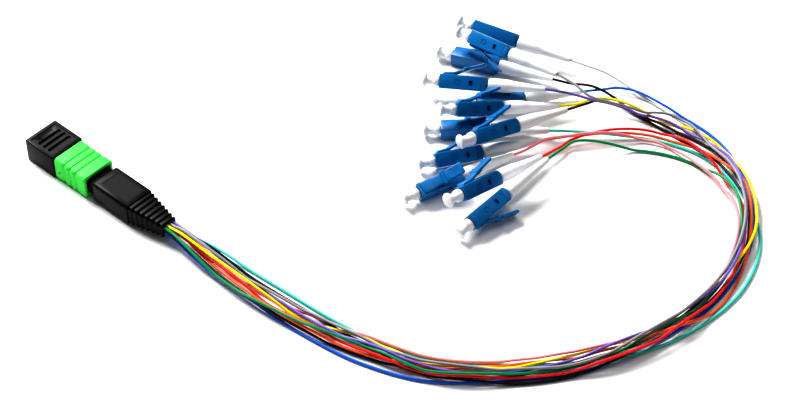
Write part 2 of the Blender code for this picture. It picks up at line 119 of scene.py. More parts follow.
# Distance behind the boot's front, then what the width and the height fall short, in mm
BOOT_GRIP_RINGS = [
    (0, 0.9, 0.9), (0.12, 0.45, 0.5), (0.4, 0.12, 0.15), (0.9, 0, 0), (15.9, 0, 0),
    (16.2, 0.12, 0.12),
]
# Share of one rib's pitch, share of the ribs' depth
RIB_WAVE = [
    (0.04, 1.0), (0.46, 1.0), (0.60, 0.6), (0.70, 0.12), (0.77, 0.0), (0.84, 0.12), (0.93, 0.6),
    (1.0, 1.0),
]

# Small plugs
BODY_SIDE = 4.8 * MM
HALF_SIDE = BODY_SIDE / 2
BODY_LENGTH = 16.0 * MM
CAVITY_RADIUS = 1.6 * MM
CAVITY_DEPTH = 4.4 * MM
PIN_RADIUS = 0.625 * MM
PIN_PROUD = 1.4 * MM
TAIL_BOOT_LENGTH = 19.0 * MM
REAR_BULGE = 0.75 * MM
HOUSING_EDGE = 0.25 * MM
RING_X = 6.1 * MM
RING_INNER = 0.66 * MM
RING_OUTER = 0.92 * MM
RING_DEPTH = 0.14 * MM
WINDOW_X = 10.6 * MM
WINDOW_HALF_LENGTH = 0.6 * MM
WINDOW_HALF_HEIGHT = 0.85 * MM
WINDOW_DEPTH = 0.7 * MM
SEAM_X = 14.0 * MM
SEAM_WIDTH = 0.14 * MM
SEAM_DEPTH = 0.09 * MM
SEAM_HALF_HEIGHT = 1.95 * MM
SLIT_DEPTH = 0.8 * MM
SLIT_HALF_WIDTH = 0.2 * MM

# Latch: distance along the housing, rise over it, thickness and width, in mm
LATCH_STATIONS = [
    (0.7, -0.20, 0.3, 2.8), (1.0, 0.45, 0.9, 3.5), (1.5, 0.72, 1.15, 3.8), (4.1, 0.88, 1.3, 3.8),
    (4.8, 1.02, 1.1, 3.6), (6.2, 1.52, 1.0, 3.4), (7.5, 2.0, 1.0, 3.4), (7.8, 2.4, 1.25, 3.9),
    (8.0, 2.6, 1.4, 4.8), (8.7, 2.85, 1.4, 4.8), (8.9, 2.72, 1.15, 4.1), (9.1, 2.98, 1.3, 4.7),
    (9.6, 3.12, 1.25, 4.6), (9.8, 3.02, 1.05, 3.8), (12.0, 3.72, 1.0, 3.8), (13.9, 4.36, 1.0, 3.9),
    (14.5, 4.72, 1.15, 3.9), (14.85, 4.66, 0.9, 3.6), (15.0, 4.48, 0.5, 3.1),
]
LATCH_FOOT_END = 4.5
LATCH_FOOT_RISE = 0.88
LATCH_CORNER = 0.25
PAD_X = 9.8
PAD_RISE = 3.02
PAD_SLOPE = 0.32
PAD_RIBS = 6
PAD_RIB_X = 10.5
PAD_RIB_PITCH = 0.62
FREE_LATCH = 1.0
PRESSED_LATCH = 0.34
PRESSED_LATCHES = ("12_aqua", "01_blue")

# Outlines of the turned pieces: distance along the plug and radius, in mm
TAIL_BOOT_OUTLINE = [
    (0.0, 1.95), (0.15, 2.2), (0.5, 2.3), (3.0, 2.28), (6.0, 2.2), (7.2, 2.1), (7.7, 1.95),
    (8.1, 1.85), (10.0, 1.70), (12.5, 1.46), (15.0, 1.25), (17.5, 1.09), (18.7, 1.03),
    (19.0, 0.90), (18.8, 0.58), (16.5, 0.52), (16.5, 0),
]
TIP_CAP_OUTLINE = [
    (-5.8, 0), (-5.8, 1.95), (-5.72, 2.18), (-5.5, 2.32), (-5.05, 2.32), (-4.8, 2.2), (-4.7, 2.0),
    (-4.5, 1.68), (-4.1, 1.52), (-3.4, 1.47), (-2.5, 1.55), (-2.1, 1.68), (-1.9, 1.95),
    (-1.7, 2.05), (-0.55, 2.05), (-0.34, 1.95), (-0.3, 1.3), (3.5, 1.3), (3.6, 1.2), (3.6, 0.94),
    (-1.7, 0.93), (-1.7, 0),
]

# Fibres: a curve through the stations, each fibre some distance outside them
FIBRE_DIAMETER = 0.9 * MM
FIBRE_RADIUS = FIBRE_DIAMETER / 2
CROSSING_GAP = 0.3 * MM
FIBRE_POINTS = 200
CURVE_STEPS = 24
ROUTE_SAMPLE = 1.0 * MM
EXIT_PITCH = 1.2 * MM
MIDDLE_COLUMN = 1.5
MIDDLE_ROW = 1
LEAD_OUT = 3 * MM
MOUTH_RUN = 6 * MM
LEAD_IN = 7 * MM
SAG_RUN = 32 * MM
HUMP_RADIUS = 30 * MM
SMOOTHING_SAMPLES = 3
HIDDEN_START = 1.5 * MM
HIDDEN_END = 2.0 * MM

STATIONS = [
    (45.5, 0.3), (70, 1.5), (92.5, 4.7), (109, 7.8), (127, 13.6), (145, 27), (160, 45),
    (168.5, 64), (172, 84), (170.5, 103), (163.5, 121), (151, 135.5), (134, 143), (116, 142),
]

# Name, colour, column and row in the boot's mouth, distances outside the stations, the plug's
# front, and its heading, pitch and roll. Each fibre lies over the ones before it.
LEGS = [
    ("12_aqua", (0.07, 0.62, 0.52), (0, 0),
     [-4.6, -5.4, -3.7, -3.2, -3.4, -3.8, -1.4, 2.4, 4.6, 5.8, 4.6, 0.0, -2.4, -5.6],
     (62.4, 91.5, 2.75), (41.5, 0, -90)),
    ("06_white", (0.58, 0.58, 0.60), (2, 0),
     [1.8, 3.4, 2.6, 0.6, -2.0, -1.0, 0.0, 0.6, 0.4, 0.2, 0.6, 1.4, 3.0, 7.8],
     (40.2, 133.8, 7.7), (18.6, -4.7, -133)),
    ("01_blue", (0.012, 0.12, 0.6), (3, 0),
     [3.2, 4.4, 6.4, 6.6, 5.0, 2.6, 2.0, 1.4, 1.6, 1.8, 2.4, 2.4, 6.0, 9.4],
     (62.9, 109.0, 2.7), (52.0, 0, 90)),
    ("08_black", (0.003, 0.003, 0.004), (0, 1),
     [-3.2, -3.2, -1.6, 0.6, 2.8, 4.0, 3.0, 1.8, 0.6, 0.8, 1.0, -0.2, -1.2, 0.2],
     (41.2, 122.2, 2.75), (22.0, 0, -90)),
    ("04_brown", (0.035, 0.011, 0.007), (3, 1),
     [2.6, 4.6, 5.2, 4.0, 2.2, 1.0, -0.6, -1.8, -2.2, -2.0, -1.6, 0.6, 1.8, 1.6],
     (78.4, 89.5, 10.8), (71.3, -6, -43)),
    ("02_orange", (0.92, 0.13, 0.03), (1, 0),
     [1.2, 4.2, 4.9, 3.8, 0.4, -2.6, -3.0, -0.6, 3.6, 3.0, 1.5, 1.3, -1.8, -4.4],
     (71.1, 78.6, 3.5), (57.4, 0, -43)),
    ("07_red", (0.8, 0.018, 0.018), (2, 1),
     [1.2, 2.6, 4.0, 3.4, 3.4, 2.6, 2.4, 2.7, 1.8, 1.1, -0.4, -2.6, -3.0, -2.6],
     (91.0, 68.3, 9.0), (82.6, -8.8, -43)),
    ("03_green", (0, 0.24, 0.085), (3, 2),
     [3.6, 5.4, 4.4, 2.1, 3.6, 2.1, 0.6, -0.2, -0.6, -1.0, -1.6, -3.4, -7.2, -12],
     (98.5, 64.6, 4.1), (86.6, 6.6, 122)),
    ("09_yellow", (0.94, 0.78, 0), (2, 2),
     [0.9, 1.2, 0.4, -1.8, -0.6, -1.2, -3.4, -3.4, -2.6, -0.2, 2.8, 3.4, 4.2, 4.6],
     (64.5, 96.2, 10.0), (55.3, -9.5, -38)),
    ("11_rose", (0.9, 0.25, 0.29), (1, 1),
     [-0.4, -0.4, -1.4, -2.9, -3.3, -3.8, -3.6, -2.6, -2.2, -2.0, -2.6, -5.2, -7.4, -6.8],
     (76.9, 64.1, 3.4), (71.6, 0, 20)),
    ("10_violet", (0.19, 0.12, 0.52), (0, 2),
     [-1.7, -0.6, 1.2, 1.0, 1.2, 0.7, -1.6, -2.4, -1.4, 0.2, -0.4, 0.2, 2.4, 3.2],
     (49.2, 106.3, 6.5), (30.3, 4.4, -43)),
    ("05_slate", (0.27, 0.265, 0.28), (1, 2),
     [-0.2, -0.9, -0.7, -0.6, -0.4, 0.4, 1.0, -0.8, -1.2, -1.2, -0.8, -0.6, 0.8, 6.2],
     (46.6, 125.4, 12.0), (2.8, 4.9, 135)),
]


# Camera, at the photograph's place and angle
eye = Vector((0.40904, -0.31243, 0.49851))
target = Vector((0.07502, 0.05762, 0.0))
camera_data = bpy.data.cameras.new("camera")
camera_data.lens = 100
camera_data.sensor_width = 36
camera_data.clip_start = 0.02
camera_data.clip_end = 10
camera = bpy.data.objects.new("camera", camera_data)
bpy.context.collection.objects.link(camera)
camera.location = eye
camera.rotation_euler = (target - eye).to_track_quat("-Z", "Y").to_euler()
bpy.context.scene.camera = camera


# Materials
MOTTLE_SCALE = 320
GRAIN_SCALE = 2600
GRAIN_STRENGTH = 0.6
GLOSSIER, DULLER = 0.07, 0.09
LEAST_ROUGHNESS = 0.05
MILKY_RADIUS = (0.9, 0.95, 1.0)
MILKY_DEPTH = 0.8 * MM


def noise(nodes, links, place, scale, detail=None):
    made = nodes.new("ShaderNodeTexNoise")
    made.inputs["Scale"].default_value = scale
    if detail is not None:
        made.inputs["Detail"].default_value = detail
    links.new(place.outputs["Object"], made.inputs["Vector"])
    return made


def moulded(name, colour, roughness, grain, mottle, shine=0.5, milky=0.0):
    """Moulded plastic: slight mottling, uneven gloss and a fine grained skin."""
    made = bpy.data.materials.new(name)
    made.use_nodes = True
    nodes = made.node_tree.nodes
    links = made.node_tree.links
    shader = nodes["Principled BSDF"]
    place = nodes.new("ShaderNodeTexCoord")
    cloud = noise(nodes, links, place, MOTTLE_SCALE, 4)
    tones = nodes.new("ShaderNodeValToRGB")
    dark, light = tones.color_ramp.elements
    dark.position, light.position = 0.3, 0.7
    dark.color = (*[c * (1 - mottle) for c in colour], 1)
    light.color = (*[min(1, c * (1 + mottle)) for c in colour], 1)
    links.new(cloud.outputs["Fac"], tones.inputs["Fac"])
    links.new(tones.outputs["Color"], shader.inputs["Base Color"])
    skin_noise = noise(nodes, links, place, GRAIN_SCALE, 3)
    gloss = nodes.new("ShaderNodeMapRange")
    gloss.inputs["To Min"].default_value = max(LEAST_ROUGHNESS, roughness - GLOSSIER)
    gloss.inputs["To Max"].default_value = roughness + DULLER
    links.new(skin_noise.outputs["Fac"], gloss.inputs["Value"])
    links.new(gloss.outputs["Result"], shader.inputs["Roughness"])
    bump = nodes.new("ShaderNodeBump")
    bump.inputs["Strength"].default_value = GRAIN_STRENGTH
    bump.inputs["Distance"].default_value = grain
    links.new(skin_noise.outputs["Fac"], bump.inputs["Height"])
    links.new(bump.outputs["Normal"], shader.inputs["Normal"])
    shader.inputs["Specular IOR Level"].default_value = shine
    if milky:
        shader.inputs["Subsurface Weight"].default_value = milky
        shader.inputs["Subsurface Radius"].default_value = MILKY_RADIUS
        shader.inputs["Subsurface Scale"].default_value = MILKY_DEPTH
    return made


BLACK = moulded("satin_black", (0.0040, 0.0040, 0.0048), roughness=0.42, grain=0.014 * MM,
                mottle=0.15, shine=0.11)
BLACK_SOFT = moulded("soft_black", (0.0022, 0.0022, 0.0030), roughness=0.40, grain=0.010 * MM,
                     mottle=0.15, shine=0.10)
# Painted shade: a darker copy of the satin black for the core, whose neck lies in shadow behind
# the sleeve
BLACK_PAINTED_SHADE = moulded("black_painted_shade", (0.0010, 0.0010, 0.0014), roughness=0.45, grain=0.010 * MM,
                     mottle=0.15, shine=0.06)
GREEN = moulded("bright_green", (0.045, 0.72, 0.070), roughness=0.45, grain=0.010 * MM,
                mottle=0.04, shine=0.22)
BLUE = moulded("plug_blue", (0.0006, 0.134, 0.35), roughness=0.34, grain=0.012 * MM,
               mottle=0.08, shine=0.3)
WHITE = moulded("milky_white", (0.75, 0.755, 0.77), roughness=0.40, grain=0.006 * MM,
                mottle=0.02, shine=0.25, milky=0.15)
CERAMIC = moulded("ceramic_pin", (0.88, 0.87, 0.84), roughness=0.15, grain=0.002 * MM, mottle=0.01)
FERRULE = moulded("dark_ferrule", (0.07, 0.07, 0.08), roughness=0.3, grain=0.004 * MM, mottle=0.08)
GLASS_DOT = moulded("fibre_end", (0.55, 0.60, 0.65), roughness=0.1, grain=0.001 * MM, mottle=0.02)


# Mesh helpers
def piece(name, bm, finish, body, bevel=0.0, crease=32, matrix=None):
    """Make an object of a mesh: smooth faces, sharp creases, softly rounded edges."""
    bmesh.ops.recalc_face_normals(bm, faces=bm.faces)
    for face in bm.faces:
        face.smooth = True
    limit = math.radians(crease)
    for edge in bm.edges:
        if len(edge.link_faces) == 2 and edge.calc_face_angle() > limit:
            edge.smooth = False
    mesh = bpy.data.meshes.new(name)
    bm.to_mesh(mesh)
    bm.free()
    made = bpy.data.objects.new(name, mesh)
    made.data.materials.append(finish)
    bpy.context.collection.objects.link(made)
    if matrix is not None:
        made.matrix_world = matrix
    if bevel:
        rounding = made.modifiers.new("edges", "BEVEL")
        rounding.width = bevel
        rounding.segments = 3
        rounding.limit_method = "ANGLE"
        rounding.angle_limit = limit
        rounding.harden_normals = True
    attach(made, body)
    return made


def rounded_ring(x, width, height, radius, steps=5, middle=AXIS_HEIGHT):
    """Points round a rectangle with rounded corners, across the plug at x."""
    points = []
    for number, (side, up) in enumerate(((1, 1), (-1, 1), (-1, -1), (1, -1))):
        for step in range(steps + 1):
            angle = math.radians(90 * number + 90 * step / steps)
            y = side * (width / 2 - radius) + radius * math.cos(angle)
            z = up * (height / 2 - radius) + radius * math.sin(angle)
            points.append(Vector((x, y, middle + z)))
    return points


def skin(rings, endless=False):
    """Join rings of the same number of points into one closed surface."""
    bm = bmesh.new()
    rows = [[bm.verts.new(point) for point in ring] for ring in rings]
    count = len(rows[0])
    pairs = list(zip(rows, rows[1:]))
    if endless:
        pairs.append((rows[-1], rows[0]))
    for near, far in pairs:
        for i in range(count):
            bm.faces.new((near[i], near[(i + 1) % count], far[(i + 1) % count], far[i]))
    if not endless:
        bm.faces.new(rows[0])
        bm.faces.new(list(reversed(rows[-1])))
    return bm


def turned(profile, sides=36):
    """A closed solid of revolution about X from (x, radius) points; radius 0 is on the axis."""
    bm = bmesh.new()
    rings = []
    for x, radius in profile:
        if radius == 0:
            rings.append([bm.verts.new((x, 0, 0))])
            continue
        angles = [2 * math.pi * i / sides for i in range(sides)]
        rings.append([bm.verts.new((x, radius * math.cos(a), radius * math.sin(a)))
                      for a in angles])
    for near, far in zip(rings, rings[1:]):
        for i in range(sides):
            j = (i + 1) % sides
            if len(near) == 1:
                bm.faces.new((near[0], far[j], far[i]))
            elif len(far) == 1:
                bm.faces.new((near[i], near[j], far[0]))
            else:
                bm.faces.new((near[i], near[j], far[j], far[i]))
    return bm


def rod(start, end, radius, sides):
    """A plain round rod along X."""
    return turned([(start, 0), (start, radius), (end, radius), (end, 0)], sides)


def block(low, high):
    """A box between two corners."""
    bm = bmesh.new()
    bmesh.ops.create_cube(bm, size=1.0)
    size = Vector(high) - Vector(low)
    centre = (Vector(high) + Vector(low)) / 2
    shape = Matrix.Translation(centre) @ Matrix.Diagonal((*size, 1.0))
    bmesh.ops.transform(bm, matrix=shape, verts=bm.verts)
    return bm


def placed(bm, matrix):
    bmesh.ops.transform(bm, matrix=matrix, verts=bm.verts)
    return bm


def combined(base, tools):
    """Cut or join the tools, one after another, and return the new mesh."""
    def temporary(bm):
        bmesh.ops.recalc_face_normals(bm, faces=bm.faces)
        mesh = bpy.data.meshes.new("shape")
        bm.to_mesh(mesh)
        bm.free()
        made = bpy.data.objects.new("shape", mesh)
        bpy.context.collection.objects.link(made)
        return made

    shape = temporary(base)
    for operation, tool_bm in tools:
        tool = temporary(tool_bm)
        modifier = shape.modifiers.new("tool", "BOOLEAN")
        modifier.operation = operation
        modifier.object = tool
        bpy.context.view_layer.update()
        evaluated = shape.evaluated_get(bpy.context.evaluated_depsgraph_get())
        result = bpy.data.meshes.new_from_object(evaluated)
        shape.modifiers.clear()
        shape.data = result
        bpy.data.objects.remove(tool, do_unlink=True)
    bm = bmesh.new()
    bm.from_mesh(shape.data)
    bpy.data.objects.remove(shape, do_unlink=True)
    return bm


def capsule(centre, half_length, radius):
    """A round-ended rod across the plug, for cutting a groove."""
    profile = [(-half_length, 0)]
    profile += [(-half_length + radius * (1 - math.cos(a)), radius * math.sin(a))
                for a in (math.radians(d) for d in (20, 45, 70, 90))]
    profile += [(-x, r) for x, r in reversed(profile[1:])]
    profile.append((half_length, 0))
    stand = Matrix.Translation(Vector(centre)) @ Matrix.Rotation(QUARTER_TURN, 4, "Z")
    return placed(turned(profile, 24), stand)


# Ribbon plug
def make_ribbon_cap():
    """The black cap: hollow, bowed at the front, with a sunk panel, grooves and a scoop on top."""
    far = CAP_X + CAP_LENGTH
    floor_height = AXIS_HEIGHT + CAP_HEIGHT / 2 - PANEL_DEPTH
    hole = (BODY_WIDTH + 2 * GAP, BODY_HEIGHT + 2 * GAP)
    mouth_flare = 0.4 * MM
    rings = [
        rounded_ring(CAP_X + CAP_END_WALL, *hole, CAP_HOLE_CORNER),
        rounded_ring(far - 0.3 * MM, *hole, CAP_HOLE_CORNER),
        rounded_ring(far, hole[0] + mouth_flare, hole[1] + mouth_flare, 0.4 * MM),
    ]
    for x, inset in ((far, 0.25), (far - 0.08 * MM, 0.08), (far - 0.25 * MM, 0),
                     (CAP_X + 0.6 * MM, 0), (CAP_X + 0.3 * MM, 0.06), (CAP_X + 0.1 * MM, 0.22),
                     (CAP_X, 0.5)):
        ring = rounded_ring(x, CAP_WIDTH - 2 * inset * MM, CAP_HEIGHT - 2 * inset * MM, CAP_CORNER)
        bow = CAP_FRONT_BOW if x < CAP_X + MM else 0
        rings.append([point + Vector((bow * (2 * point.y / CAP_WIDTH) ** 2, 0, 0))
                      for point in ring])
    panel = skin([rounded_ring(0, 10.6 * MM, 10.4 * MM, 0.6 * MM, middle=0),
                  rounded_ring(2 * MM, 10.9 * MM, 10.8 * MM, 0.7 * MM, middle=0)])
    stand = (Matrix.Translation((CAP_X + PANEL_X, 0, floor_height))
             @ Matrix.Rotation(-QUARTER_TURN, 4, "Y"))
    tools = [("DIFFERENCE", placed(panel, stand))]
    for distance in CAP_GROOVES:
        groove = capsule((CAP_X + distance, 0, floor_height + 0.1 * MM), GROOVE_HALF_LENGTH,
                         GROOVE_RADIUS)
        tools.append(("DIFFERENCE", groove))
    scoop = capsule((CAP_X + SCOOP_X, 0, floor_height + 2.1 * MM), SCOOP_HALF_LENGTH,
                    SCOOP_RADIUS)
    tools.append(("DIFFERENCE", scoop))
    made = piece("dust_cap_ribbon", combined(skin(rings), tools), BLACK, "ribbon_cap",
                 bevel=0.07 * MM, crease=35)
    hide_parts("ribbon_plug_cap")


def make_sleeve():
    """The green sleeve: wide grooves at its sides, thin lines on top, a dot on each side."""
    def cut(x, reach, power):
        return max(max(0.0, 1 - abs(x - groove) / reach) ** power for groove in SLEEVE_GROOVES)

    outer = []
    for x in np.linspace(0, SLEEVE_LENGTH, SLEEVE_STATIONS):
        end = min(x, SLEEVE_LENGTH - x)
        edge = SLEEVE_END_RADIUS * max(0.0, 1 - end / SLEEVE_END_RUN) ** 2
        side = SIDE_GROOVE_DEPTH * cut(x, SIDE_GROOVE_REACH, 1.5)
        top = TOP_LINE_DEPTH * cut(x, TOP_LINE_REACH, 0.7)
        outer.append(rounded_ring(SLEEVE_X + x, SLEEVE_WIDTH - 2 * (side + edge),
                                  SLEEVE_HEIGHT - 2 * (top + edge), SLEEVE_CORNER, 6))
    inner = [rounded_ring(x, HOLE_WIDTH + grow, HOLE_HEIGHT + grow, 0.4 * MM, 6)
             for x, grow in ((NECK_X, 0.5 * MM), (NECK_X - 0.3 * MM, 0), (SLEEVE_X + 0.3 * MM, 0),
                             (SLEEVE_X, 0.5 * MM))]
    dots = []
    for side in (-1, 1):
        stand = Matrix.Translation((SLEEVE_X + 2.3 * MM, side * SLEEVE_WIDTH / 2,
                                    AXIS_HEIGHT - 0.6 * MM))
        spot = placed(rod(-0.5 * MM, 0.5 * MM, DOT_RADIUS, 20),
                      stand @ Matrix.Rotation(QUARTER_TURN, 4, "Z"))
        dots.append(("DIFFERENCE", spot))
    made = piece("pull_sleeve", combined(skin(outer + inner, True), dots), GREEN,
                 "coupling_sleeve", crease=38)
    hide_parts("coupling_sleeve")


def make_core():
    """The body in the sleeve, with a step behind the nose, and the ferrule with its fibre ends."""
    front = SLEEVE_X - NOSE_LENGTH
    rings = [rounded_ring(x, BODY_WIDTH - inset, BODY_HEIGHT - inset, CORE_CORNER)
             for x, inset in ((front, 0.5 * MM), (front + 0.25 * MM, 0), (NECK_X + 0.4 * MM, 0),
                              (NECK_X + 0.7 * MM, 0.5 * MM), (BOOT_X - GAP, 0.5 * MM))]
    pocket = block((front - GAP, -FERRULE_WIDTH / 2 - GAP, AXIS_HEIGHT - FERRULE_HEIGHT / 2 - GAP),
                   (front + FERRULE_DEPTH + GAP, FERRULE_WIDTH / 2 + GAP,
                    AXIS_HEIGHT + FERRULE_HEIGHT / 2 + GAP))
    # The core takes the darker black, which is painted shade for its neck lying in shadow
    made = piece("ribbon_plug_core", combined(skin(rings), [("DIFFERENCE", pocket)]), BLACK_PAINTED_SHADE,
                 "cable", bevel=0.08 * MM, crease=40)
    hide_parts("ribbon_plug_body")
    tip = front - FERRULE_PROUD
    shape = block((tip, -FERRULE_WIDTH / 2, AXIS_HEIGHT - FERRULE_HEIGHT / 2),
                  (front + FERRULE_DEPTH, FERRULE_WIDTH / 2, AXIS_HEIGHT + FERRULE_HEIGHT / 2))
    holes = []
    for side in (-1, 1):
        stand = Matrix.Translation((tip, side * GUIDE_HOLE_OFFSET, AXIS_HEIGHT))
        hole = placed(rod(-MM, 3 * MM, GUIDE_HOLE_RADIUS, 24), stand)
        holes.append(("DIFFERENCE", hole))
    ferrule = piece("ferrule_block", combined(shape, holes), FERRULE, "cable", bevel=0.12 * MM,
                    crease=40)
    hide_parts("ribbon_ferrule")
    ends = bmesh.new()
    count = len(LEGS)
    for number in range(count):
        dot = rod(-0.02 * MM, 0.05 * MM, FIBRE_END_RADIUS, 12)
        offset = (number - (count - 1) / 2) * FIBRE_END_PITCH
        placed(dot, Matrix.Translation((tip, offset, AXIS_HEIGHT)))
        spare = bpy.data.meshes.new("dot")
        dot.to_mesh(spare)
        dot.free()
        ends.from_mesh(spare)
        bpy.data.meshes.remove(spare)
    dots = piece("fibre_ends", ends, GLASS_DOT, "cable")


def make_ribbed_boot():
    """The black boot: a flat grip with a sunk plate, a ribbed taper and a hollow mouth."""
    def ring(x, width, height, corner=BOOT_CORNER):
        return rounded_ring(x, width, height, corner, 4)

    rings = [ring(BOOT_X + x * MM, BOOT_GRIP_WIDTH - 2 * w * MM, BOOT_GRIP_HEIGHT - 2 * h * MM)
             for x, w, h in BOOT_GRIP_RINGS]
    taper_x = BOOT_X + BOOT_GRIP_LENGTH
    pitch = BOOT_TAPER_LENGTH / BOOT_RIBS
    for number in range(BOOT_RIBS):
        for share, depth in RIB_WAVE:
            x = taper_x + (number + share) * pitch
            along = (x - taper_x) / BOOT_TAPER_LENGTH
            width = BOOT_GRIP_WIDTH + along * (BOOT_END_WIDTH - BOOT_GRIP_WIDTH)
            height = BOOT_GRIP_HEIGHT + along * (BOOT_END_HEIGHT - BOOT_GRIP_HEIGHT)
            cut = 2 * depth * BOOT_RIB_DEPTH
            rings.append(ring(x, width - cut, height - cut))
    for x, shrink in ((0, 0.9), (-0.4, 1.3), (-3.0, 1.3)):
        rings.append(ring(BOOT_END_X + x * MM, BOOT_END_WIDTH - shrink * MM,
                          BOOT_END_HEIGHT - shrink * MM, 0.9 * MM))
    plate = skin([rounded_ring(x, 11.6 * MM, 7.2 * MM, 0.8 * MM, middle=0) for x in (0, MM)])
    stand = Matrix.Translation((BOOT_X + PLATE_X, 0,
                                AXIS_HEIGHT + BOOT_GRIP_HEIGHT / 2 - PLATE_DEPTH))
    stand = stand @ Matrix.Rotation(-QUARTER_TURN, 4, "Y") @ Matrix.Rotation(QUARTER_TURN, 4, "X")
    made = piece("ribbon_boot", combined(skin(rings), [("DIFFERENCE", placed(plate, stand))]),
                 BLACK_SOFT, "cable", crease=40)
    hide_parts("ribbed_boot")


# Small plugs
def bent(rise, lift):
    """A height on the latch after its arm is pressed down to a share of its free lift."""
    return LATCH_FOOT_RISE + (rise - LATCH_FOOT_RISE) * lift


def latch(lift):
    """The springy arm: a foot on the housing, a rising arm, ears in two steps and a thumb pad."""
    rings = []
    for x, rise, thickness, width in LATCH_STATIONS:
        bend = rise if x < LATCH_FOOT_END else bent(rise, lift)
        upper = HALF_SIDE + bend * MM
        corner = min(LATCH_CORNER, thickness * 0.45) * MM
        rings.append(rounded_ring(x * MM, width * MM, thickness * MM, corner, 3,
                                  upper - thickness * MM / 2))
    return skin(rings)


def pad_ribs(lift):
    """Shallow cross ribs on the thumb pad."""
    tools = []
    for number in range(PAD_RIBS):
        x = PAD_RIB_X + number * PAD_RIB_PITCH
        bend = bent(PAD_RISE + (x - PAD_X) * PAD_SLOPE, lift)
        rib = capsule((x * MM, 0, HALF_SIDE + bend * MM + 0.09 * MM), 1.5 * MM, 0.17 * MM)
        tools.append(("DIFFERENCE", rib))
    return tools


def housing_shell():
    """The plain housing: square, with a rounded rear and softened edges."""
    bm = bmesh.new()
    outline = [(0, -HALF_SIDE), (0, HALF_SIDE)]
    outline += [(BODY_LENGTH - REAR_BULGE * (abs(t) ** 2.2), HALF_SIDE * t)
                for t in np.linspace(1, -1, 13)]
    faces = []
    for y in (-HALF_SIDE, HALF_SIDE):
        faces.append([bm.verts.new((x, y, z)) for x, z in outline])
    bm.faces.new(faces[0])
    bm.faces.new(list(reversed(faces[1])))
    for i in range(len(outline)):
        j = (i + 1) % len(outline)
        bm.faces.new((faces[0][i], faces[1][i], faces[1][j], faces[0][j]))
    bmesh.ops.recalc_face_normals(bm, faces=bm.faces)
    sharp = [edge for edge in bm.edges if edge.calc_face_angle() > math.radians(40)]
    bmesh.ops.bevel(bm, geom=sharp, offset=HOUSING_EDGE, segments=2, profile=0.5, affect="EDGES")
    return bm


def housing_mesh(lift):
    """The housing with its latch, cavity, windows, ring marks, seams and front slits."""
    cavity = turned([(-GAP, 0), (-GAP, CAVITY_RADIUS + 0.15 * MM), (0.2 * MM, CAVITY_RADIUS),
                     (CAVITY_DEPTH, CAVITY_RADIUS), (CAVITY_DEPTH, 0)])
    tools = [("UNION", latch(lift))] + pad_ribs(lift) + [("DIFFERENCE", cavity)]
    for side in (-1, 1):
        wall = side * HALF_SIDE
        window = block((WINDOW_X - WINDOW_HALF_LENGTH, wall - WINDOW_DEPTH, -WINDOW_HALF_HEIGHT),
                       (WINDOW_X + WINDOW_HALF_LENGTH, wall + MM, WINDOW_HALF_HEIGHT))
        tools.append(("DIFFERENCE", window))
        ring = turned([(-RING_DEPTH, RING_INNER), (-RING_DEPTH, RING_OUTER),
                       (0.4 * MM, RING_OUTER), (0.4 * MM, RING_INNER),
                       (-RING_DEPTH, RING_INNER)], 32)
        bmesh.ops.remove_doubles(ring, verts=ring.verts, dist=1e-7)
        stand = (Matrix.Translation((RING_X, wall, 0))
                 @ Matrix.Rotation(side * QUARTER_TURN, 4, "Z"))
        tools.append(("DIFFERENCE", placed(ring, stand)))
        seam = block((SEAM_X, wall - SEAM_DEPTH, -SEAM_HALF_HEIGHT),
                     (SEAM_X + SEAM_WIDTH, wall + MM, SEAM_HALF_HEIGHT))
        tools.append(("DIFFERENCE", seam))
    for z in (-HALF_SIDE + 0.55 * MM, HALF_SIDE - 0.55 * MM):
        for side in (-1, 1):
            y = side * (HALF_SIDE - 0.62 * MM)
            slit = block((-GAP, y - SLIT_HALF_WIDTH, z - SLIT_HALF_WIDTH),
                         (SLIT_DEPTH, y + SLIT_HALF_WIDTH, z + SLIT_HALF_WIDTH))
            tools.append(("DIFFERENCE", slit))
    return combined(housing_shell(), tools)


def pin_bmesh():
    return turned([(-PIN_PROUD, 0), (-PIN_PROUD, 0.42 * MM), (-PIN_PROUD + 0.16 * MM, PIN_RADIUS),
                   (CAVITY_DEPTH, PIN_RADIUS), (CAVITY_DEPTH, 0)], 28)


def tail_boot_bmesh():
    start = BODY_LENGTH + GAP
    return turned([(start, 0)] + [(start + x * MM, r * MM) for x, r in TAIL_BOOT_OUTLINE])


def tip_cap_bmesh():
    return turned([(x * MM, r * MM) for x, r in TIP_CAP_OUTLINE])


def plug_matrix(front, angles):
    """Where a small plug lies: its front in mm, then heading, pitch and roll in degrees."""
    heading, pitch, roll = (math.radians(a) for a in angles)
    place = Matrix.Translation(Vector(front) * MM)
    return (place @ Matrix.Rotation(heading, 4, "Z") @ Matrix.Rotation(-pitch, 4, "Y")
            @ Matrix.Rotation(roll, 4, "X"))


# Fibres: laid as in the model, along lanes that follow the photograph a little more closely
def run_along(path):
    """The length run at each point of a path."""
    return np.concatenate([[0], np.cumsum(np.linalg.norm(np.diff(path, axis=0), axis=1))])


def resampled(path, run, count):
    even = np.linspace(0, run[-1], count)
    return np.stack([np.interp(even, run, path[:, axis]) for axis in range(path.shape[1])], axis=1)


